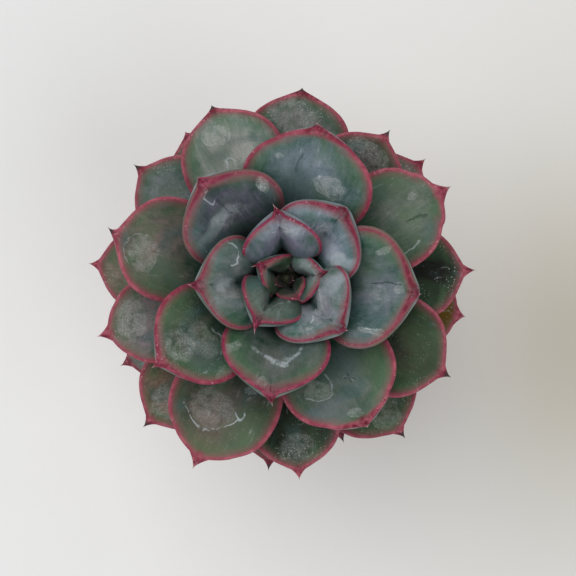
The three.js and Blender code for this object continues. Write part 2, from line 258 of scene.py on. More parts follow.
def corner(centre, radius, start, end):
    """Points on a rounded corner of the pot's outline, from one angle to another in degrees."""
    points = []
    for i in range(CORNER_STEPS + 1):
        angle = math.radians(start + (end - start) * i / CORNER_STEPS)
        points.append((centre[0] + radius * math.cos(angle), centre[1] + radius * math.sin(angle)))
    return points


def inner_pot_radius(z):
    share = min(1.0, (z - POT_FLOOR) / (POT_HEIGHT - RIM_BAND_HEIGHT - POT_FLOOR))
    return FOOT_RADIUS + (SHOULDER_RADIUS - FOOT_RADIUS) * share - POT_WALL


def pot_outline():
    shoulder = POT_HEIGHT - RIM_BAND_HEIGHT
    points = [(DRAIN_RADIUS, DRAIN_ROUND), (DRAIN_RADIUS + DRAIN_ROUND, 0)]
    points += corner((FOOT_RADIUS - FOOT_ROUND, FOOT_ROUND), FOOT_ROUND, -90, -10)
    for i in range(1, WALL_STEPS):
        share = i / WALL_STEPS
        radius = FOOT_RADIUS + (SHOULDER_RADIUS - FOOT_RADIUS) * share
        points.append((radius, shoulder * share))
    points.append((SHOULDER_RADIUS, shoulder - 0.8))
    under_band = (RIM_RADIUS - SHOULDER_ROUND, shoulder + SHOULDER_ROUND)
    points += corner(under_band, SHOULDER_ROUND, -90, 0)
    points.append((RIM_RADIUS, shoulder + 0.5 * RIM_BAND_HEIGHT))
    points += corner((RIM_RADIUS - LIP_ROUND, POT_HEIGHT - LIP_ROUND), LIP_ROUND, 0, 90)
    inside = inner_pot_radius(POT_HEIGHT)
    points += corner((inside + LIP_ROUND, POT_HEIGHT - LIP_ROUND), LIP_ROUND, 90, 180)
    points += [(inner_pot_radius(z), z) for z in (shoulder, 50, 35, 20, POT_FLOOR + 1)]
    points.append((inner_pot_radius(POT_FLOOR) - 1, POT_FLOOR))
    points.append((DRAIN_RADIUS + DRAIN_ROUND, POT_FLOOR))
    points.append((DRAIN_RADIUS, POT_FLOOR - DRAIN_ROUND))
    return points


pot = finished("clay_pot", spin_outline(pot_outline(), POT_STEPS), clay_finish())
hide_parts("pot")


# Potting soil
# A loose dark mix of bark, peat and sand, filled to a finger's breadth below the rim. Its
# top is uneven and crumbly, and the stem goes down into it.

SOIL_TOP = 69
SOIL_RELIEF = 0.9
STEM_HOLE_DEPTH = 24
STEM_FOOT_RADIUS = 7.1
SEAT_GAP = 0.3
SOIL_RINGS = 60
SOIL_STEPS = 140
CRUMB_SPACING = 2.3
SAND_SPACING = 0.8
PEAT = (0.030, 0.020, 0.013)
BARK = (0.115, 0.065, 0.036)
SAND = (0.34, 0.29, 0.22)


def soil_finish():
    soil = Finish("potting_mix")
    crumbs = soil.cells(CRUMB_SPACING)
    tint = soil.split(soil.cells(CRUMB_SPACING, out="Color"))[0]
    body = soil.blend(soil.cloud(5, 5, roughness=0.7), PEAT, BARK)
    body = soil.blend(tint.rise(0.80, 0.95) * crumbs.rise(0.55, 0.30), body, SAND)
    body = soil.blend(tint.rise(0.30, 0.05) * 0.8, body, PEAT)
    grit = soil.cells(SAND_SPACING)
    height = (1 - crumbs) * 0.9 + (1 - grit) * 0.3 + soil.cloud(0.6, 4) * 0.2
    return soil.set(Base_Color=body, Roughness=0.95, Normal=soil.relief(height, 1.2),
                    Specular_IOR_Level=0.2)


def soil_top(x, y):
    """Height of the soil at a place, in mm."""
    lumps = math.sin(0.31 * x + 0.8) * math.cos(0.27 * y - 0.4)
    ridges = math.sin(0.72 * x - 0.55 * y + 2.1) * 0.5
    crumbs = noise.noise(Vector((x, y, 3.0)) * 0.45) + noise.noise(Vector((x, y, 9.0)) * 1.1) * 0.5
    return SOIL_TOP + SOIL_RELIEF * (lumps + ridges) + crumbs * 0.8


def soil_mesh():
    edge = inner_pot_radius(POT_HEIGHT) - SEAT_GAP
    hole = STEM_FOOT_RADIUS + SEAT_GAP
    shoulder = POT_HEIGHT - RIM_BAND_HEIGHT
    low = POT_FLOOR + SEAT_GAP
    outline = [(inner_pot_radius(low) - SEAT_GAP, low), (edge, shoulder), (edge, SOIL_TOP - 2.5)]
    for i in range(SOIL_RINGS + 1):
        outline.append((edge + (hole - edge) * i / SOIL_RINGS, SOIL_TOP))
    outline += [(hole, SOIL_TOP - STEM_HOLE_DEPTH), (0, SOIL_TOP - STEM_HOLE_DEPTH), (0, low)]
    mesh = spin_outline(outline, SOIL_STEPS)
    for vert in mesh.verts:
        if abs(vert.co.z - SOIL_TOP * MM) < 0.00001:
            vert.co.z = soil_top(vert.co.x / MM, vert.co.y / MM) * MM
    return mesh


soil = finished("potting_soil", soil_mesh(), soil_finish())
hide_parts("soil")


# Bark and grit on the soil
# Chips of bark, pale grit and a few crumbs of pumice lie loose on top of the soil. Each is
# a worn lump, half sunk where it fell.

GRIT_SEED = 11

# How many, their least and largest size, how flat they are, and their light and dark colour
GRIT_LOOKS = {
    "bark_chips": (150, (1.1, 2.6), 0.42, (0.13, 0.070, 0.038), (0.05, 0.028, 0.018)),
    "pale_grit": (120, (0.6, 1.3), 0.75, (0.42, 0.37, 0.30), (0.25, 0.21, 0.17)),
    "pumice": (40, (1.0, 1.9), 0.80, (0.62, 0.60, 0.55), (0.45, 0.42, 0.37)),
}


def crumb_finish(name, light, dark):
    crumb = Finish(name)
    body = crumb.blend(crumb.cloud(1.6, 4, roughness=0.7), dark, light)
    height = crumb.cells(0.5) + crumb.cloud(0.4, 3)
    return crumb.set(Base_Color=body, Roughness=0.9, Specular_IOR_Level=0.25,
                     Normal=crumb.relief(height, 0.2))


def crumbs_mesh(count, sizes, flatness, draw):
    edge = inner_pot_radius(POT_HEIGHT) - 2.5
    mesh = bmesh.new()
    for _ in range(count):
        size = draw.uniform(*sizes)
        radius = math.sqrt(draw.uniform((STEM_FOOT_RADIUS + 2) ** 2, edge ** 2))
        angle = draw.uniform(0, math.tau)
        x, y = radius * math.cos(angle), radius * math.sin(angle)
        made = bmesh.ops.create_icosphere(mesh, subdivisions=1, radius=size * MM)["verts"]
        for vert in made:
            vert.co *= 1 + 0.35 * noise.noise(vert.co * 900 + Vector((x, y, size)))
        shape = Matrix.Diagonal((draw.uniform(0.7, 1.5), draw.uniform(0.6, 1.0), flatness, 1))
        turn = Matrix.Rotation(draw.uniform(0, math.tau), 4, "Z")
        lean = Matrix.Rotation(draw.uniform(-0.4, 0.4), 4, "X")
        drop = Matrix.Translation((x * MM, y * MM, (soil_top(x, y) + size * flatness * 0.4) * MM))
        bmesh.ops.transform(mesh, matrix=drop @ turn @ lean @ shape, verts=made)
    bmesh.ops.recalc_face_normals(mesh, faces=mesh.faces)
    return mesh


grit_draw = random.Random(GRIT_SEED)
for grit_name, (count, sizes, flatness, light, dark) in GRIT_LOOKS.items():
    grit = finished(grit_name, crumbs_mesh(count, sizes, flatness, grit_draw),
                    crumb_finish(grit_name, light, dark), smooth=False)


# Stem
# One short, woody stem that leans a little. It thins towards the growing tip, and its skin
# is ringed by the scars of leaves that have dropped.

LEAF_COUNT = 40
LOWEST_LEAF_Z = 79
LEAF_STEP_Z = 0.95
STEM_TIP_RADIUS = 0.8
STEM_SPREAD = 6.4
STEM_TAPER_LEAVES = 9
STEM_LEAN = (1.2, 1.6)
STEM_TIP_ABOVE = 1.6
STEM_RING_STEP = 1.2
STEM_STEPS = 40
SCAR_DEPTH = 0.22
STEM_WOOD = (0.21, 0.145, 0.09)
STEM_GREEN = (0.19, 0.21, 0.13)
SCAR = (0.36, 0.28, 0.19)


def leaf_base_z(count):
    return LOWEST_LEAF_Z + (LEAF_COUNT - 1 - count) * LEAF_STEP_Z


def stem_radius(count):
    return STEM_TIP_RADIUS + STEM_SPREAD * (1 - math.exp(-count / STEM_TAPER_LEAVES))


def stem_axis(z):
    share = max(0.0, (z - LOWEST_LEAF_Z) / (leaf_base_z(0) - LOWEST_LEAF_Z))
    return Vector((STEM_LEAN[0] * share, STEM_LEAN[1] * share, z))


def stem_finish():
    stem = Finish("stem_bark")
    z = stem.split(stem.spot)[2]
    body = stem.blend(z.rise(0.080, 0.100), STEM_WOOD, STEM_GREEN)
    rings = stem.cloud(1, 3, stem.stretched((0.12, 0.12, 0.8)), roughness=0.6)
    body = stem.blend(rings.rise(0.55, 0.75) * 0.8, body, SCAR)
    body = stem.blend(stem.cloud(0.7, 4).rise(0.5, 0.7) * 0.4, body, PEAT)
    return stem.set(Base_Color=body, Roughness=0.85, Normal=stem.relief(rings, 0.8))


def stem_mesh():
    foot = SOIL_TOP - STEM_HOLE_DEPTH + SEAT_GAP
    rings = int((LOWEST_LEAF_Z - foot) / STEM_RING_STEP)
    levels = [foot + STEM_RING_STEP * i for i in range(rings)]
    outline = [(0, foot)] + [(STEM_FOOT_RADIUS - 0.1, z) for z in levels]
    for count in range(LEAF_COUNT - 1, -1, -1):
        outline.append((stem_radius(count), leaf_base_z(count)))
    outline.append((0, leaf_base_z(0) + STEM_TIP_ABOVE))
    mesh = spin_outline(outline, STEM_STEPS)
    for vert in mesh.verts:
        x, y, z = vert.co / MM
        scars = SCAR_DEPTH * (math.sin(z * 2.1 + 1.5 * math.sin(3 * math.atan2(y, x))) - 1)
        share = 1 + scars * min(1.0, math.hypot(x, y) / 4) / 6
        moved = Vector((x * share, y * share, 0)) + stem_axis(z)
        vert.co = moved * MM
    return mesh


stem = finished("stem", stem_mesh(), stem_finish())
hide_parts("stem")


# Leaves
# Thick, fleshy leaves that stand on a golden-angle spiral, cupped round the stem at the
# heart and flatter outside. Each ends in a sharp spine. The skin is green under a powdery
# blue-grey bloom, with a crimson margin, and holds dust and the tracks of dried water.
# Shade at the roots, under the lobes, in the grooves and creases, and a highlight down each
# leaf's middle are painted into the skin's colour.

GOLDEN_ANGLE = 137.5
FIRST_AZIMUTH = -19.5
LONGEST_SPINE = 3.6
SPINE_LEAST = 0.8
SPINE_BY_WIDTH = 0.12
FOLD_WIDTH = 0.22
GROOVE_WIDTH = 0.3
HUG_SHARE = 0.4
LARGEST_CURL = 1.35
MARGIN_ROUND = 0.55
MARGIN_ANGLE = math.radians(24)
AROUND = 40
ALONG = 60
SPINE_SHARE = 0.2
SPINE_DRAWN = 0.98
WAVE_HEIGHT = 0.5
CROWN_Z = 137
CROWN_REST = 0.4

# Half width of a leaf against the share of its length
LEAF_OUTLINE = [
    (0, 0.27), (0.12, 0.37), (0.28, 0.57), (0.45, 0.84), (0.6, 0.98), (0.7, 1),
    (0.8, 0.94), (0.88, 0.79), (0.94, 0.54), (0.975, 0.31), (1, 0.14),
]

# What changes from the inner leaves to the outer ones, against the leaf's count
RISE = [
    (0, 85), (1, 84), (2, 83), (3, 79.6), (4, 76.6), (5, 69), (6, 67.5), (7, 62.8), (8, 56),
    (9, 54), (10, 49.5), (12, 43), (13, 37), (14, 35.5), (15, 31), (17, 23), (19, 18), (22, 15),
    (26, 12), (30, 9), (35, 6), (39, 3),
]
BOW = [
    (0, -4), (2, -9), (3, -9), (4, -2.3), (5, -6), (6, -14.5), (7, -7), (8, -9.5), (9, -15.5),
    (10, -4.5), (11, -3), (12, 0), (13, -3), (14, 5), (15, 5), (16, 10), (20, 14), (39, 12),
]
THICKNESS = [
    (0, 1.1), (2, 1.1), (3, 2.2), (4, 3), (5, 3), (6, 4.6), (7, 5), (8, 5.5), (9, 6), (10, 6.2),
    (14, 7), (17, 6.6), (20, 6), (30, 5.8), (39, 5),
]
BASE_THICKNESS = [(0, 0.5), (3, 0.32), (10, 0.35), (14, 0.5), (39, 0.5)]
THINNING = [(0, 0.6), (3, 0.3), (10, 0.25), (14, 0.4), (18, 0.6), (39, 0.6)]
FOLD = [
    (0, 10), (2, 15), (3, 11.7), (4, 39.4), (5, 28), (6, 22.5), (7, 21.7), (8, 22), (9, 16.5),
    (10, 13.5), (11, 14), (12, 9.5), (13, 17.5), (14, 11), (15, 10.5), (18, 4), (39, 2),
]
CUP = [
    (0, 0.9), (2, 0.76), (3, 0.66), (4, 0.1), (5, 0.4), (6, 0.24), (7, 0.41), (9, 0.45),
    (10, 0.7), (11, 0.47), (12, 0.5), (13, 0.65), (15, 0.65), (16, 0.75), (18, 0.85), (39, 0.9),
]
SHARE_ABOVE = [(0, 0.3), (2, 0.4), (3, 0.62), (10, 0.62), (14, 0.45), (18, 0.3), (39, 0.3)]
BLUNTNESS = [(0, 0), (3, 1), (10, 1), (14, 0.4), (18, 0), (39, 0)]
GROOVE = [
    (0, 0), (2, 0.3), (3, 0.65), (5, 0.65), (6, 0.6), (7, 0.55), (8, 0.4), (10, 0.45),
    (11, 0.2), (20, 0.1), (39, 0.1),
]
PLUMP = [
    (0, 1), (3, 1.6), (4, 1.9), (5, 2.1), (6, 2), (7, 1.7), (10, 1.6), (13, 1.4), (16, 1.15),
    (20, 1), (39, 1),
]
SPOON = [(0, 0), (8, 0.1), (12, 0.3), (20, 0.45), (39, 0.4)]
SPINE_RISE = [(0, 80), (2, 60), (4, 30), (10, 15), (16, 20), (39, 12)]

# For each leaf, from the centre outwards: its turn off the spiral in degrees, and its reach and
# width in mm
LEAVES = [
    (0, 2.4, 3.4), (10, 3.9, 5), (19.4, 4.5, 4.4), (11.7, 8.7, 12.2), (2, 10.9, 18.9),
    (-6.5, 14.4, 21.2), (0.5, 19.2, 24.5), (-1.7, 22.8, 29), (-2.6, 24.6, 34),
    (1.3, 29.5, 32.8), (3.5, 28.9, 35), (-5.5, 38.4, 37.7), (-0.4, 40.8, 37.6),
    (1.4, 41.6, 45.5), (-2, 48.5, 36), (-1.2, 49.3, 45.8), (-1, 52, 41), (2, 57, 35.5),
    (4, 59.5, 34.5), (-4, 65.2, 37.5), (2, 59.5, 36), (-3, 60.5, 35), (1, 61.5, 30),
    (-3, 58.5, 32), (-6, 63, 31.5), (-1, 60.5, 30.5), (-2, 61.5, 31.5), (-2, 64.5, 31),
    (-6, 62.5, 36.5), (-5, 63.5, 33.5), (-1, 63, 29), (3, 61, 31), (5, 61, 27), (0, 58.5, 30),
    (4, 60.5, 32), (-1, 59.5, 32), (0, 55, 26), (-2, 56, 26), (0, 52, 25), (0, 50, 24),
]

# By count: spines with a length of their own and how far they hook sideways, in mm, how much
# wider a cusp is, and how much higher a leaf sits, in mm
SPINES = {
    3: 2.7, 4: 2.4, 5: 3.3, 6: 4.2, 7: 3.6, 8: 2.1, 9: 3.4, 10: 1.5, 11: 3.8, 12: 2.4, 13: 1.7,
    15: 2.8, 16: 2.2, 18: 5, 19: 5, 20: 2.2, 22: 4.6, 26: 4.4, 28: 1.8, 33: 2,
}
HOOKS = {
    3: 1.2, 4: 1.9, 5: 1.4, 6: 1.7, 7: 1.4, 8: 1.3, 9: -0.6, 10: 0.3, 11: 1.4, 12: 0.3,
    13: -0.6, 15: 1.6, 17: -2,
}
CUSPS = {15: 1.4, 16: 1.5, 18: 1.6, 19: 1.3, 22: 1.3, 34: 1.5}
LIFTS = {18: 0.3, 28: -0.4}

# Looks that change from the inner leaves to the outer ones. Flesh shows where the powder is
# rubbed off, as a darker share of the powder's tint.
FLESH_SHARE = (0.07, 0.25, 0.16)
# Each leaf's powder tint is partly its own colour and partly painted light and shade: it is set
# leaf by leaf to how light or dark that leaf looks where it stands, so the heart is near black.
POWDER_AND_LIGHT = [
    (0, (0.03, 0.012, 0.014)), (3, (0.078, 0.056, 0.055)), (4, (0.056, 0.062, 0.042)),
    (5, (0.188, 0.212, 0.225)), (6, (0.108, 0.13, 0.116)), (7, (0.216, 0.193, 0.281)),
    (8, (0.316, 0.295, 0.352)), (9, (0.177, 0.185, 0.192)), (10, (0.306, 0.31, 0.409)),
    (11, (0.126, 0.133, 0.125)), (12, (0.107, 0.1, 0.137)), (13, (0.202, 0.214, 0.251)),
    (14, (0.098, 0.103, 0.076)), (15, (0.19, 0.225, 0.265)), (16, (0.164, 0.181, 0.156)),
    (17, (0.219, 0.162, 0.146)), (18, (0.176, 0.187, 0.165)), (19, (0.155, 0.113, 0.096)),
    (20, (0.545, 0.498, 0.489)), (21, (0.059, 0.056, 0.036)), (22, (0.382, 0.244, 0.275)),
    (23, (0.084, 0.05, 0.046)), (24, (0.015, 0.018, 0.008)), (25, (0.26, 0.265, 0.274)),
    (26, (0.011, 0.011, 0.008)), (27, (0.295, 0.148, 0.117)), (28, (0.203, 0.186, 0.18)),
    (29, (0.121, 0.121, 0.071)), (30, (0.347, 0.243, 0.2)), (31, (0.393, 0.244, 0.26)),
    (32, (0.189, 0.193, 0.175)), (33, (0.186, 0.191, 0.172)), (34, (0.08, 0.045, 0.002)),
    (35, (0.6, 0.6, 0.6)), (39, (0.17, 0.18, 0.15)),
]
# How thick the powder lies and how unevenly, how much dust sits on it, how strongly the root is
# painted with shade, and how much fresh green shows
BLOOM = [(0, 0.2), (3, 0.4), (5, 0.6), (12, 0.5), (20, 0.45), (39, 0.4)]
UNEVEN = [(0, 1), (12, 1), (18, 0.7), (20, 0.5), (22, 0.8), (39, 0.8)]
DUST = [(0, 0), (13, 0.05), (14, 0.3), (16, 0.1), (21, 0.3), (22, 0.6), (39, 0.75)]
ROOT = [(0, 0.9), (10, 0.9), (13, 0.8), (14, 0.6), (18, 0.6), (20, 0.7), (39, 0.7)]
GREEN = [(0, 0), (10, 0.25), (14, 0.45), (20, 0.45), (39, 0.45)]
# How far the crimson margin comes up on the face and starts on the underside, and how wide a
# lobe is from the margin, beyond which shade is painted under it, all in mm
LINE = [
    (0, -0.4), (2, -0.4), (3, -0.15), (5, -0.1), (8, 0.05), (11, 0.25), (12, 0.45), (13, 0.45),
    (14, 0.4), (16, 0.5), (20, 0.5), (39, 0.45),
]
UNDER_LINE = [
    (0, -0.4), (2, -0.4), (3, -0.8), (7, -0.8), (8, -0.5), (9, -0.4), (10, -0.5), (11, -0.8),
    (12, -0.15), (13, -0.2), (14, -1.4), (39, -1.4),
]
LOBE = [
    (0, 1.6), (3, 4.2), (4, 5.5), (5, 7.5), (6, 8), (7, 11), (8, 12), (10, 13), (11, 20),
    (39, 40),
]
# The margin's colour, and how much of it is rose
CRIMSON = [
    (0, (0.045, 0.008, 0.016)), (2, (0.045, 0.008, 0.016)), (3, (0.17, 0.012, 0.045)),
    (9, (0.19, 0.013, 0.055)), (16, (0.20, 0.012, 0.040)), (39, (0.19, 0.012, 0.034)),
]
ROSY = [(0, -0.6), (2, -0.6), (3, -0.1), (12, 0), (15, 0.15), (17, 0.5), (39, 0.4)]
ROSE = (0.34, 0.085, 0.115)
DEEP_CRIMSON = (0.12, 0.006, 0.020)
BLUSH = (0.20, 0.065, 0.070)
FLECK = (0.55, 0.36, 0.40)
TIP_WHITE = (0.62, 0.50, 0.48)
DRY_TIP = (0.05, 0.03, 0.03)
# Tints of the single layers
YOUNG_GREEN = (0.058, 0.125, 0.056)
TEAL = (0.045, 0.098, 0.098)
# DEEP_TEAL is the painted shade at the roots, under the lobes and in creases, and also the colour
# of small pits; HEART_SHADE is the painted shade deep between the inner leaves
DEEP_TEAL = (0.005, 0.028, 0.021)
HEART_SHADE = (0.002, 0.008, 0.006)
PALE_KEEL = (0.30, 0.325, 0.34)
KEEL_SHADE = (0.15, 0.19, 0.18)
DUST_PALE = (0.40, 0.42, 0.40)
BLOOM_WHITE = (0.46, 0.52, 0.54)

# Sizes of the spots in the skin, in mm, from the widest to the finest
HUE_SPOT = 15
DRIFT_SPOT = 9
DUST_SPOT = 5
MOTTLE_SPOT = 3.4
RUB_SPOT = 2.6
FLECK_SPACING = 1.3
STREAK_SPOT = 1.1
GRIT_SPACING = 0.9
PIT_SPACING = 0.6
GRAIN_SPOT = 0.55
FINE_SPOT = 0.45
STREAK_DRAW = 0.22

# The smallest leaves, in the heart, are painted darker as shade, and some outer leaves have dried
# tips
HEART_LEAVES = 3
DRY_TIPS = (17, 20, 21, 23, 25, 27, 28, 29, 32, 37)

# Marks on single leaves, by count, at a place across and down from the tip in mm, and with a
# strength at the end. A veil is a film of dust with its two radii; a track is the rim that a
# drop left, with its radius, and its facing and spread in degrees; a stroke is a rub or a
# scratch up to a second place, with its width, and so is a crease, which is painted dark as
# shade. Washes go by their tint.
VEILS = [
    (7, -4, 6, 4, 2.5, 0.35), (8, 3, 10, 7, 2.6, 0.55), (8, -7, 7, 3.5, 2.6, 0.5),
    (9, 2.3, 11, 5, 4, 0.35), (10, 2, 10, 2.6, 6, 0.45), (10, -13, 10, 2, 3, 0.5),
    (11, -4.3, 4.4, 1.8, 2.4, 0.6), (11, -15.9, 13, 1.6, 2, 0.5), (12, -16.3, 11.6, 2.2, 3, 1),
    (12, 3, 15, 10, 3.4, 0.3), (13, 1.3, 5.5, 2.6, 1.8, 0.6), (13, -16.8, 9.6, 1.4, 4.5, 0.7),
    (13, 15.2, 9.4, 1.2, 2.6, 0.6), (13, -3, 12, 5, 3, 0.3), (14, -1, 10.5, 6.5, 5, 0.6),
    (14, 2, 18, 8, 4.5, 0.35), (14, 16.8, 15, 3, 3.4, 0.4), (15, -8.3, 18.3, 7, 3.4, 0.7),
    (15, 12.3, 11.2, 1.5, 1.2, 0.7), (16, -0.8, 5.4, 2.6, 1.5, 0.6),
    (16, -9.5, 17, 4.6, 3.2, 0.55), (17, 3, 12.5, 6.6, 5, 0.5), (18, 3.8, 12.1, 1.6, 1.4, 0.5),
    (19, -3.2, 20.5, 7.5, 6.5, 0.36), (19, 6.2, 30, 2, 1.6, 0.5), (20, 2.6, 8.9, 4.2, 3.6, 0.7),
    (22, -1.9, 12, 6.5, 5, 0.6), (23, 2, 11, 8, 5, 0.5), (24, 0, 10, 6, 5, 0.4),
    (27, 0, 11, 6, 5, 0.5), (28, 3, 9, 9, 6, 0.5), (29, 0, 10, 5, 5, 0.5),
]
TRACKS = [
    (8, 2, 9, 4, 200, 70, 0.5), (9, -11.5, 9.5, 3.4, 100, 80, 0.7),
    (12, 1.5, 5.5, 2.4, 10, 110, 0.6), (14, 2, 14, 10, 60, 40, 0.5),
    (16, -9, 19, 5.6, 305, 90, 0.5), (17, 3, 12.5, 6.6, 250, 70, 0.3),
    (18, -8, 21, 4.5, 150, 90, 0.45), (19, -4.2, 23, 9.9, 280, 66, 0.75),
    (19, 6, 22.5, 1.7, 300, 100, 0.8), (20, 1.1, 20, 2, 240, 120, 0.9),
    (20, 2.6, 8.9, 4.1, 80, 90, 0.4),
]
STROKES = [
    (6, 3, 8, 9, 12, 0.5, 0.4), (7, -6, 5.6, -1.6, 6.8, 0.45, 0.7),
    (7, 2, 6.6, 5.6, 5.6, 0.4, 0.5), (8, 9.5, 13, 3, 9.5, 0.5, 0.8),
    (8, -9, 6.5, -4, 9.6, 0.5, 0.8), (10, 5.4, 14, 3.6, 5.6, 0.6, 0.6),
    (10, 7, 12, 6.4, 6, 0.4, 0.6), (11, -12, 14.4, -5, 13.8, 0.9, 0.55),
    (11, -5, 13.8, 1.5, 12.4, 1.3, 0.6), (11, 1, 12.6, 6.6, 11.6, 1.4, 0.62),
    (11, 6, 11.8, 11.4, 16.4, 1, 0.6), (11, 4, 15, 9, 13, 1.6, 0.4),
    (12, 8, 13.5, -5, 17, 1.6, 0.22), (13, -15.5, 7, -16.4, 12.5, 0.5, 0.8),
    (15, -2, 18.5, -4, 15.5, 0.4, 0.8), (16, 1, 18, 4.6, 14.6, 0.4, 0.5),
]
WASHES = {
    (0.33, 0.375, 0.42): [
        (7, -5, 7, 4, 3, 0.35), (7, 5, 6.5, 4, 3, 0.25), (8, 12, 8.8, 5, 2.6, 0.45),
        (8, 5, 10.6, 6, 3, 0.45), (8, -4, 9.5, 6, 3, 0.4), (9, 0, 9, 4, 5, 0.3),
        (10, -3, 12.6, 5, 3, 0.6), (10, -9, 11.2, 5, 3, 0.6), (10, -14.5, 9.4, 4, 3, 0.6),
        (12, 6, 14, 11, 2.8, 0.5),
    ],
    (0.07, 0.12, 0.062): [
        (13, 11, 17, 7, 7, 0.6), (14, -13, 12, 7, 9, 0.6), (15, -14, 10, 8, 7, 0.5),
        (16, 13.5, 13, 7, 9, 0.6), (17, 9, 20, 9, 9, 0.6), (18, 0, 12, 18, 14, 0.12),
        (18, 16, 17, 12, 12, 0.5), (18, -8, 22, 10, 8, 0.4), (19, 10, 17, 8, 11, 0.7),
        (20, 4, 13, 10, 9, 0.35), (21, 7, 14, 9, 9, 0.5), (24, 2, 15, 9, 9, 0.15),
        (27, 0, 16, 9, 8, 0.4),
    ],
    (0.06, 0.098, 0.098): [
        (11, 10, 17, 8, 6, 0.4), (12, 14, 18, 9, 7, 0.6), (13, 2, 11, 9, 6, 0.35),
        (14, 8, 16, 8, 8, 0.5), (15, 4, 22, 11, 9, 0.7), (16, 0, 22, 12, 8, 0.6),
        (22, 1.5, 17, 10, 8, 0.5),
    ],
    (0.15, 0.16, 0.19): [
        (16, -9, 8, 10, 6, 0.5),
    ],
    (0.12, 0.13, 0.07): [
        (19, 2, 8, 11, 5, 0.5),
    ],
    (0.13, 0.07, 0.006): [
        (34, 0, 8, 16, 10, 1),
    ],
}
CREASES = [
    (12, 0, 8, 0, 16, 0.4, 0.3), (13, 2.6, 4, 2.8, 16, 0.35, 0.8), (15, 4, 10, 5, 17, 0.5, 0.4),
    (16, 2.7, 18.5, 2.8, 14.5, 0.3, 0.7), (16, 0.8, 17.5, 5, 15, 0.3, 0.7),
    (18, -2.7, 18.7, -4.4, 9.9, 0.3, 0.8),
]


def between(a, b, share):
    return a + (b - a) * share


def ease(x):
    t = min(1.0, max(0.0, x))
    return t * t * (3 - 2 * t)


def interval_of(table, x):
    i = 0
    while i < len(table) - 2 and x >= table[i + 1][0]:
        i += 1
    return i


def read_line(table, x):
    """Straight lines between the table's values, which may be numbers or colours."""
    i = interval_of(table, x)
    (x0, a), (x1, b) = table[i], table[i + 1]
    share = min(1.0, max(0.0, (x - x0) / (x1 - x0)))
    if isinstance(a, tuple):
        return tuple(between(p, q, share) for p, q in zip(a, b))
    return between(a, b, share)


def read_curve(table, x):
    """A smooth curve through the table's points."""
    i = interval_of(table, x)
    before, start = table[max(i - 1, 0)], table[i]
    end, after = table[i + 1], table[min(i + 2, len(table) - 1)]
    span = end[0] - start[0]
    slope_start = (end[1] - before[1]) / (end[0] - before[0])
    slope_end = (after[1] - start[1]) / (after[0] - start[0])
    u = (x - start[0]) / span
    return (
        (2 * u ** 3 - 3 * u ** 2 + 1) * start[1] + (u ** 3 - 2 * u ** 2 + u) * span * slope_start
        + (3 * u ** 2 - 2 * u ** 3) * end[1] + (u ** 3 - u ** 2) * span * slope_end
    )


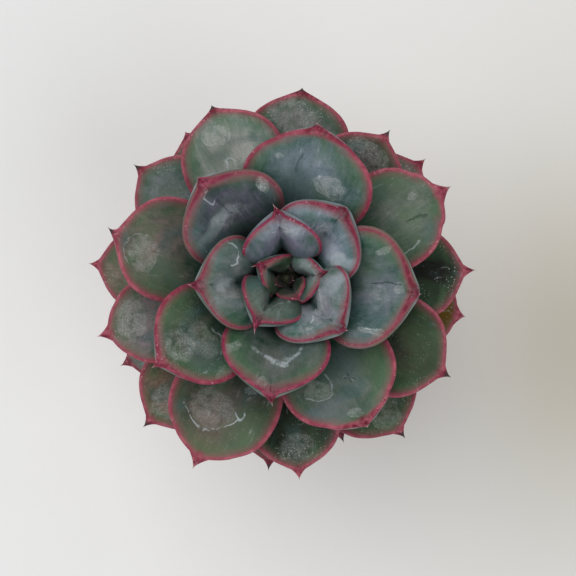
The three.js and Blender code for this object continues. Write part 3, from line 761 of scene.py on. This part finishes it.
class Leaf:
    """One leaf's place and form, in mm."""

    def __init__(self, count):
        self.count = count
        turn, reach, width = LEAVES[count]
        azimuth = math.radians(FIRST_AZIMUTH - GOLDEN_ANGLE * count + turn)
        self.outward = Vector((math.cos(azimuth), math.sin(azimuth), 0))
        self.side = Vector((-math.sin(azimuth), math.cos(azimuth), 0))
        self.width = width
        self.rise = read_line(RISE, count)
        self.bow = read_line(BOW, count)
        self.thickness = read_line(THICKNESS, count)
        self.fold = math.radians(read_line(FOLD, count))
        self.cup = read_line(CUP, count)
        self.above = read_line(SHARE_ABOVE, count)
        self.blunt = read_line(BLUNTNESS, count)
        self.groove = read_line(GROOVE, count)
        self.plump = read_line(PLUMP, count)
        self.spoon = read_line(SPOON, count)
        self.thinning = read_line(THINNING, count)
        self.spine_rise = math.radians(read_line(SPINE_RISE, count))
        self.spine = SPINES.get(count, min(LONGEST_SPINE, SPINE_LEAST + SPINE_BY_WIDTH * width))
        self.cusp = CUSPS.get(count, 1)
        self.hook = HOOKS.get(count, 0)
        self.base_z = leaf_base_z(count) + LIFTS.get(count, 0)
        slant = math.sin(math.radians(self.rise - self.bow / 2))
        share = max(self.above * slant, (self.above - 1) * slant)
        self.base_thickness = read_line(BASE_THICKNESS, count)
        inward = share * self.base_thickness * self.thickness
        self.base_radius = stem_radius(count) + SEAT_GAP + inward
        run = reach - self.base_radius - self.spine * math.cos(self.spine_rise)
        self.length = run / self.run_to(1)[0]

    def rise_at(self, t):
        return math.radians(self.rise + self.bow * (t - 0.5))

    def run_to(self, t):
        """How far out and up the middle line runs in the share t, for a leaf of length 1."""
        steps = 24
        across = up = 0
        for i in range(steps):
            rise = self.rise_at(t * (i + 0.5) / steps)
            across += math.cos(rise) * t / steps
            up += math.sin(rise) * t / steps
        return across, up

    def half_at(self, t):
        """Half the leaf's width at t, where t runs on past 1 along the spine."""
        half = self.width / 2
        if t > 1:
            return max(0.14 * self.cusp * half * (2 - t) ** 1.7, 0.08)
        shape = read_curve(LEAF_OUTLINE, t) * between(1, self.cusp, ease((t - 0.93) / 0.07))
        return half * shape

    def profile_across(self, fold, curl):
        """Sideways, upward and tilt values against the share of the half width, in steps."""
        steps = 24
        end = math.tanh(1 / FOLD_WIDTH)
        rows = [(0.0, 0.0, 0.0)]
        sideways = up = 0
        for i in range(steps):
            v = (i + 0.5) / steps
            tilt = curl * v + fold * math.tanh(v / FOLD_WIDTH) / end
            sideways += math.cos(tilt) / steps
            up += math.sin(tilt) / steps
            v = (i + 1) / steps
            rows.append((sideways, up, curl * v + fold * math.tanh(v / FOLD_WIDTH) / end))
        return rows

    def station(self, t):
        """All that the points of one ring round the leaf share."""
        body, on_spine = min(t, 1.0), max(t - 1.0, 0.0)
        across, up = self.run_to(body)
        rise = self.spine_rise if on_spine else self.rise_at(body)
        radius = self.base_radius + across * self.length
        radius += on_spine * self.spine * math.cos(self.spine_rise)
        z = self.base_z + up * self.length + on_spine * self.spine * math.sin(self.spine_rise)
        half = self.half_at(t)
        grown = ease(body / HUG_SHARE)
        swollen = ease((body - 0.3) / 0.3) * (1 - 0.6 * ease((body - 0.72) / 0.28))
        bend = between(1, self.cup, grown) * math.sin(self.rise_at(body)) / max(radius, 3)
        bend += self.spoon * ease(body / 0.5) / (self.width / 2)
        fold = self.fold * grown
        thickness = self.thickness * between(self.base_thickness, 1, ease(body / 0.55))
        thickness *= 1 - self.thinning * ease((body - 0.55) / 0.45)
        step = 0.01
        slope = (self.half_at(min(t + step, 2)) - self.half_at(max(t - step, 0)))
        slope /= 2 * step * self.length
        middle = stem_axis(self.base_z)
        middle.z = z
        middle += self.outward * radius + self.side * (self.hook * on_spine ** 1.5)
        round_off = min(MARGIN_ROUND, 0.12 * self.thickness, half * 0.6)
        return {
            "t": t,
            "middle": middle,
            "normal": self.outward * -math.sin(rise) + Vector((0, 0, math.cos(rise))),
            "half": max(half - round_off, 0.01),
            "round": round_off,
            "thickness": min(thickness, 1.1 * half),
            "plump": between(1, self.plump, swollen),
            "groove": self.groove * ease((0.98 - body) / 0.36),
            "across": self.profile_across(fold, min(bend * half, LARGEST_CURL - fold)),
            "steepness": math.hypot(1, slope),
        }

    def point(self, ring, angle):
        """A point of the ring, with its distance from the margin: below 0 on the underside."""
        turn = min(abs(angle), math.pi - abs(angle))
        sign = 1 if abs(angle) < math.pi / 2 else -1
        above = 1 if angle >= 0 else -1
        lean = math.pi / 2 * min(1.0, turn / MARGIN_ANGLE)
        share = max(0.0, (turn - MARGIN_ANGLE) / (math.pi / 2 - MARGIN_ANGLE))
        u = math.cos(share * math.pi / 2)
        rows = ring["across"]
        spot = u * (len(rows) - 1)
        i = min(int(spot), len(rows) - 2)
        sideways, up, tilt = (between(p, q, spot - i) for p, q in zip(rows[i], rows[i + 1]))
        lobe = max(0.0, 1 - u ** between(2.2, 5, self.blunt)) ** between(1, 0.5, self.blunt)
        groove = ring["groove"] * math.exp(-((u / GROOVE_WIDTH) ** 2))
        keel = max(0.0, 1 - u ** 2.2) ** 0.85
        full = self.above * ring["plump"] * lobe * (1 - groove)
        depth = full if above > 0 else (self.above - 1) * keel
        inset = math.hypot((1 - u) * ring["half"], depth * ring["thickness"]) / ring["steepness"]
        depth = depth * ring["thickness"] + above * ring["round"] * math.sin(lean)
        out = ring["round"] * math.cos(lean)
        normal = ring["normal"] * math.cos(tilt) - self.side * (sign * math.sin(tilt))
        level = self.side * (sign * math.cos(tilt)) + ring["normal"] * math.sin(tilt)
        place = ring["middle"] + self.side * (sign * sideways * ring["half"])
        place += ring["normal"] * (up * ring["half"]) + normal * depth + level * out
        turned = above * lean / (math.pi / 2)
        edge = above * inset - ring["round"] * (1 - turned)
        return place, edge, sign * u * ring["half"]


def station_share(share):
    """Where a ring stands on the leaf: rings lie closer together near the tip."""
    if share < 1 - SPINE_SHARE:
        body = share / (1 - SPINE_SHARE)
        return 1 - (1 - body) ** 1.5
    return 1 + (share - 1 + SPINE_SHARE) / SPINE_SHARE * SPINE_DRAWN


def leaf_mesh(leaf):
    mesh = bmesh.new()
    edge_layer = mesh.verts.layers.float.new("edge")
    along_layer = mesh.verts.layers.float.new("along")
    across_layer = mesh.verts.layers.float.new("across")
    bmesh.ops.create_uvsphere(mesh, u_segments=AROUND, v_segments=ALONG, radius=1)
    rings = []
    for i in range(ALONG + 1):
        rings.append(leaf.station(station_share(max(0, i - 1) / (ALONG - 1))))
    total = leaf.length + leaf.spine
    for vert in mesh.verts:
        level = round(math.acos(max(-1.0, min(1.0, -vert.co.z))) / math.pi * ALONG)
        ring = rings[level]
        if level in (0, ALONG):
            place, edge, across = ring["middle"], 0.0, 0.0
        else:
            angle = math.atan2(vert.co.y, vert.co.x)
            place, edge, across = leaf.point(ring, angle)
        wave = noise.noise(place * 0.11 + Vector((leaf.count * 7.3, 0, 0)))
        swell = ease(ring["t"] / 0.3) * ease((1 - ring["t"]) / 0.4)
        place = place + ring["normal"] * (wave * WAVE_HEIGHT * swell)
        if place.z > CROWN_Z:
            place.z = between(CROWN_Z, place.z, CROWN_REST)
        vert.co = place * MM
        vert[edge_layer] = edge
        along = min(ring["t"], 1) * leaf.length + max(ring["t"] - 1, 0) * leaf.spine
        vert[along_layer] = total - along
        vert[across_layer] = across
    bmesh.ops.recalc_face_normals(mesh, faces=mesh.faces)
    return mesh


class Marks:
    """Shares that cover one leaf's marks, measured across and down the leaf in mm."""

    def __init__(self, skin):
        self.across = skin.across + (skin.cloud(6, 5) - 0.5) * 5
        self.from_tip = skin.from_tip + (skin.cloud(4.7, 5) - 0.5) * 5

    def away(self, u, v):
        return self.across - u, self.from_tip - v

    def oval(self, u, v, half_across, half_along):
        """The squared distance from an oval's middle, which is 1 on its edge."""
        across, along = self.away(u, v)
        return (across / half_across) ** 2 + (along / half_along) ** 2

    def veil(self, *where):
        """The film, and the thin rim where it dried."""
        far = self.oval(*where) ** 0.5
        return far.rise(1.12, 0.8), abs(far - 0.98).rise(0.10, 0.02)

    def wash(self, *where):
        return self.oval(*where).rise(1.2, 0.05)

    def track(self, u, v, radius, facing, spread):
        """A part of a ring, to both sides of the way it faces."""
        across, along = self.away(u, v)
        far = (across * across + along * along) ** 0.5
        turn = math.radians(facing)
        ahead = (across * math.cos(turn) + along * math.sin(turn)) / far
        ends = math.cos(math.radians(spread))
        return abs(far - radius).rise(0.42, 0.10) * ahead.rise(ends - 0.06, ends + 0.06)

    def stroke(self, u0, v0, u1, v1, width):
        """A straight line from one place to another, thinner towards its ends."""
        across, along = self.away((u0 + u1) / 2, (v0 + v1) / 2)
        length = math.hypot(u1 - u0, v1 - v0)
        du, dv = (u1 - u0) / length, (v1 - v0) / length
        down = abs(across * du + along * dv).rise(length * 0.5, length * 0.36)
        return abs(along * du - across * dv).rise(width, width * 0.3) * down


class Skin(Finish):
    """The skin of one leaf, with its layers in the order in which they lie on it."""

    def __init__(self, leaf):
        super().__init__(f"leaf_skin_{leaf.count:02d}")
        self.leaf = leaf
        self.total = leaf.length + leaf.spine
        self.in_heart = leaf.count < HEART_LEAVES
        self.edge = self.measure("edge")
        self.across = self.measure("across")
        self.from_tip = self.measure("along")
        self.face = self.edge.rise(0.0, 0.4)
        self.drift = self.cloud(DRIFT_SPOT, 3, distortion=0.6)
        self.rub = self.cloud(RUB_SPOT, 5, roughness=0.6)
        self.fine = self.cloud(FINE_SPOT, 3)
        down = self.from_tip * (STREAK_DRAW * MM)
        drawn = {0: self.across * MM, 1: down, 2: 0.02 * leaf.count}
        lengthwise = self.add("ShaderNodeCombineXYZ", {}, drawn)
        self.streaks = self.cloud(STREAK_SPOT, 4, lengthwise, roughness=0.6)
        self.grit = self.cells(GRIT_SPACING).rise(0.34, 0.14)
        self.marks = Marks(self)

    def own(self, table):
        """What a table says for this leaf."""
        return read_line(table, self.leaf.count)

    def rows(self, table):
        """The rows of marks that lie on this leaf."""
        return [row[1:] for row in table if row[0] == self.leaf.count]

    def powder_and_painted_light(self):
        """Flesh under powder, painted thin in the groove as shade and thick down the middle as a
        highlight.
        """
        # The powder tint carries painted light and shade, set leaf by leaf.
        powder = self.own(POWDER_AND_LIGHT)
        flesh = tuple(tone * share for tone, share in zip(powder, FLESH_SHARE))
        width, total, middle = self.leaf.width, self.total, abs(self.across)
        # Painted shade: the powder is thinner and more flesh shows in the groove.
        groove = middle.rise(width * 0.11, width * 0.02) * self.leaf.groove
        groove = groove * self.from_tip.rise(6, 12)
        # Painted highlight: the powder lies thicker in a band down the middle of the leaf.
        crest_highlight = middle.rise(width * 0.42, 0) * abs(self.from_tip - total * 0.3).rise(total * 0.3, 0)
        uneven = self.own(UNEVEN)
        bloom = (self.drift - 0.5) * 1.5 * uneven + (self.rub - 0.5) * 0.9 * uneven
        bloom = bloom + self.own(BLOOM) + (self.streaks - 0.5) * 0.6
        self.bloom = bloom - groove * 0.35 + (crest_highlight - 0.35) * 0.5
        body = self.blend(self.bloom, flesh, powder)
        hue = self.cloud(HUE_SPOT, 2, distortion=0.8)
        near_margin = (self.edge + (self.rub - 0.5) * 2).rise(7, 2)
        greener = hue.rise(0.46, 0.66) + near_margin * 0.5
        body = self.blend(greener * self.own(GREEN), body, YOUNG_GREEN)
        body = self.blend(hue.rise(0.48, 0.32) * 0.5, body, TEAL)
        body = self.blend((self.fine - 0.52).at_least(0) * 2.0, body, flesh)
        # More painted shade in the groove.
        return self.blend(groove * 0.3, body, flesh)

    def shaded(self, body):
        """Painted shade: deep green at the root and in the gap under a lobe, near black in the
        heart.
        """
        lobe, rooted = self.own(LOBE), self.own(ROOT)
        # Painted shade under each lobe and towards the root.
        lobe_shade = (self.edge + (self.rub - 0.5) * 0.8).rise(lobe * 0.9, lobe * 1.45)
        root = self.from_tip.rise(self.total * 0.32, self.total * 0.70) * rooted
        body = self.blend(root.at_least(lobe_shade * rooted), body, DEEP_TEAL)
        gap = lobe_shade * self.leaf.groove * self.from_tip.rise(9, 15)
        return self.blend(gap, body, HEART_SHADE)

    def tinted(self, body):
        """Washes of another tint on the face, and the paler, duller underside."""
        for tint, rows in WASHES.items():
            for *where, strength in self.rows(rows):
                share = self.marks.wash(*where) * strength * (0.3 + self.drift)
                body = self.blend(share, body, tint)
        keel = self.blend(self.drift.rise(0.35, 0.65), PALE_KEEL, KEEL_SHADE)
        under = self.edge.rise(-0.8, -1.5) * (0.9 - self.streaks * 0.5)
        return self.blend(under, body, keel)

    def dusty(self, body):
        """Bright streaks where the powder has caked, scattered dust and pits."""
        caked = self.streaks.rise(0.60, 0.74) * self.drift.rise(0.46, 0.60) * self.face
        body = self.blend(caked * 0.22, body, BLOOM_WHITE)
        dust = self.own(DUST)
        specks = self.grit * self.cloud(DUST_SPOT, 3).rise(0.42, 0.60)
        specks = specks * (0.6 + self.from_tip.rise(14, 3) * 0.6) * dust
        body = self.blend(specks * 0.8, body, DUST_PALE)
        pits = self.cells(PIT_SPACING).rise(0.26, 0.08) * self.rub.rise(0.42, 0.62)
        self.raised = caked * 0.2 + specks * 0.3
        return self.blend(pits * (0.25 + dust * 0.7), body, DEEP_TEAL)

    def raise_mark(self, body, mark, tint, strength, height):
        """A mark that shows as a tint and stands proud of the skin, or lies in it."""
        self.raised = self.raised + mark * height
        return self.blend(mark * strength, body, tint)

    def marked(self, body):
        """The leaf's own films of dust, dried tracks and rubs, and creases painted dark as shade.
        """
        marks, rub, face = self.marks, self.rub, self.face
        grain = self.cloud(GRAIN_SPOT, 4, roughness=0.7).rise(0.42, 0.62)
        for *where, strength in self.rows(VEILS):
            film, rim = marks.veil(*where)
            film = film * (0.3 + grain * 0.55 + self.grit * 0.3) * rub.rise(0.25, 0.60) * face
            rim = rim * self.drift.rise(0.46, 0.58) * face
            body = self.blend((film * 0.85 + rim * 0.2) * strength, body, DUST_PALE)
            self.raised = self.raised + rim * 0.3
        for *where, strength in self.rows(TRACKS):
            rim = marks.track(*where) * rub.rise(0.34, 0.56) * face
            body = self.raise_mark(body, rim, BLOOM_WHITE, strength * 0.8, 0.5)
        for *where, strength in self.rows(STROKES):
            scratch = marks.stroke(*where) * rub.rise(0.36, 0.62) * face
            body = self.raise_mark(body, scratch, BLOOM_WHITE, strength * 0.8, 0.4)
        for *where, strength in self.rows(CREASES):
            # Painted shade: a crease is a dark line as well as a dent.
            crease_shade = marks.stroke(*where) * face
            body = self.raise_mark(body, crease_shade, DEEP_TEAL, strength * 0.6, -1.2)
        return body

    def margin(self, tip, wander):
        """Where the crimson line lies: on the margin, wider at the tip."""
        spine, reach = self.leaf.spine, self.own(LINE)
        shown = max(0, reach)
        soft = 0.15 + shown * 1.1
        line = self.edge + wander * (0.2 + soft) - tip * (0.2 + shown * 0.8)
        line = line.rise(reach + soft, reach - soft)
        low = self.own(UNDER_LINE)
        line = line * (self.edge + wander * 0.2).rise(low, low + 0.3)
        point = self.from_tip + abs(self.across) * 0.5 + wander
        point = point.rise(spine + 0.6 + shown * 3.4, spine * 0.8)
        return line.at_least(point * self.face)

    def edged(self, body):
        """A blush that fades in from the margin, the crimson line, and the spine."""
        spine = self.leaf.spine
        tip = self.from_tip.rise(5.5, 1.2)
        wander = (self.rub - 0.5) * 0.8 + (self.drift - 0.5) * 0.9
        fade = 0.7 + max(0, self.own(LINE)) * 5.2
        blush = (1 - (self.edge + wander).at_least(0) / fade).at_least(0)
        blush = blush ** 1.3 * self.edge.rise(-1.0, -0.4) * (0.25 if self.in_heart else 1)
        body = self.blend(blush * (0.7 + tip * 0.25), body, BLUSH)
        mottle = self.cloud(MOTTLE_SPOT, 5, roughness=0.7)
        rosy = mottle.rise(0.40, 0.66) * 0.5 + self.own(ROSY)
        crimson = self.blend(rosy, self.own(CRIMSON), ROSE)
        crimson = self.blend((tip * 0.9 + 0.2) * mottle.rise(0.60, 0.42), crimson, DEEP_CRIMSON)
        flecks = self.cells(FLECK_SPACING).rise(0.30, 0.12)
        crimson = self.blend(flecks * self.drift.rise(0.45, 0.60) * 0.45, crimson, FLECK)
        line = self.margin(tip, wander)
        side = self.from_tip.rise(self.total * 0.8, self.total * 0.35)
        body = self.blend(line * (0.45 + side * 0.45), body, crimson)
        body = self.blend(self.from_tip.rise(spine * 1.2, spine * 0.7) * 0.9, body, crimson)
        self.raised = self.raised + line * 0.8
        if self.leaf.count in DRY_TIPS:
            dried = (self.from_tip + wander).rise(spine * 0.8, spine * 0.4)
            return self.blend(dried, body, DRY_TIP)
        start, strength = (0.8, 1) if self.in_heart else (0.45, 0.6)
        return self.blend(self.from_tip.rise(spine * start, 0.1) * strength, body, TIP_WHITE)

    def swelling(self):
        """The round rise of each lobe, from the margin to the groove."""
        lobe = self.own(LOBE)
        width = (self.edge + abs(self.across)).at_most(lobe).at_least(0.5)
        dome = (1 - (self.edge.at_least(0) / width * 2 - 1) ** 2).at_least(0)
        return self.relief(dome * self.leaf.groove, min(lobe, 7) * 0.20)


def leaf_finish(leaf):
    skin = Skin(leaf)
    body = skin.powder_and_painted_light()
    for layer in (skin.shaded, skin.tinted, skin.dusty, skin.marked, skin.edged):
        body = layer(body)
    height = skin.rub * 0.5 + skin.fine * 0.2 + skin.streaks * 0.3 + skin.raised
    return skin.set(
        Base_Color=body, Roughness=0.40 + skin.bloom * 0.16,
        Normal=skin.relief(height, 0.16, under=skin.swelling()),
        Specular_IOR_Level=0.15, Sheen_Weight=0.03, Sheen_Roughness=0.5,
        Subsurface_Weight=0.08, Subsurface_Radius=(0.6, 0.8, 0.5), Subsurface_Scale=0.0015,
    )


for count in range(LEAF_COUNT):
    leaf = Leaf(count)
    blade = finished(f"rosette_leaf_{count:02d}", leaf_mesh(leaf), leaf_finish(leaf))
    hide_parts(f"leaf_{count:02d}")


# Floor and light
# A plain pale floor with one soft, warm painted shadow on it, in wide soft light from the upper
# left and a dim fill from the other side.

FLOOR_SIZE = 3000
FLOOR_PALE = (0.705, 0.71, 0.705)
# FLOOR_WARM is the tone of the painted shadow, and of faint random patches on the floor.
FLOOR_WARM = (0.41, 0.385, 0.31)
SHADOW_SPOT = (0.11, -0.02)
SHADOW_FALL = (600, 186)


def floor_finish():
    floor = Finish("pale_floor")
    x, y = floor.split(floor.spot)[:2]
    # Painted shadow: a soft, darker and warmer patch on the floor right of the plant.
    across, along = x - SHADOW_SPOT[0], y - SHADOW_SPOT[1]
    painted_shadow = 1 / (across * across * SHADOW_FALL[0] + along * along * SHADOW_FALL[1] + 1)
    body = floor.blend(painted_shadow * 0.9, FLOOR_PALE, FLOOR_WARM)
    body = floor.blend(floor.cloud(30, 2) * 0.08, body, FLOOR_WARM)
    return floor.set(Base_Color=body, Roughness=0.75,
                     Normal=floor.relief(floor.cloud(3, 3), 0.1))


floor_mesh = bmesh.new()
bmesh.ops.create_grid(floor_mesh, x_segments=1, y_segments=1, size=FLOOR_SIZE / 2 * MM)
floor = shown("floor", floor_mesh, floor_finish(), smooth=False)


def soft_light(name, place, size, watts, colour):
    """A round light of this width in metres, turned towards the plant."""
    data = bpy.data.lights.new(name, "AREA")
    data.shape = "DISK"
    data.size = size
    data.energy = watts
    data.color = colour
    light = bpy.data.objects.new(name, data)
    light.location = place
    light.rotation_euler = Vector(place).to_track_quat("Z", "Y").to_euler()
    bpy.context.scene.collection.objects.link(light)


soft_light("window", (-0.5, 0.45, 1.5), 1.6, 17, (1.0, 0.985, 0.97))
soft_light("fill", (0.7, -0.6, 1.3), 1.4, 7, (1.0, 0.98, 0.95))

sky = bpy.data.worlds.new("room_light")
sky.use_nodes = True
glow = sky.node_tree.nodes["Background"].inputs
glow["Color"].default_value = (0.93, 0.95, 1.0, 1)
glow["Strength"].default_value = 0.56
bpy.context.scene.world = sky
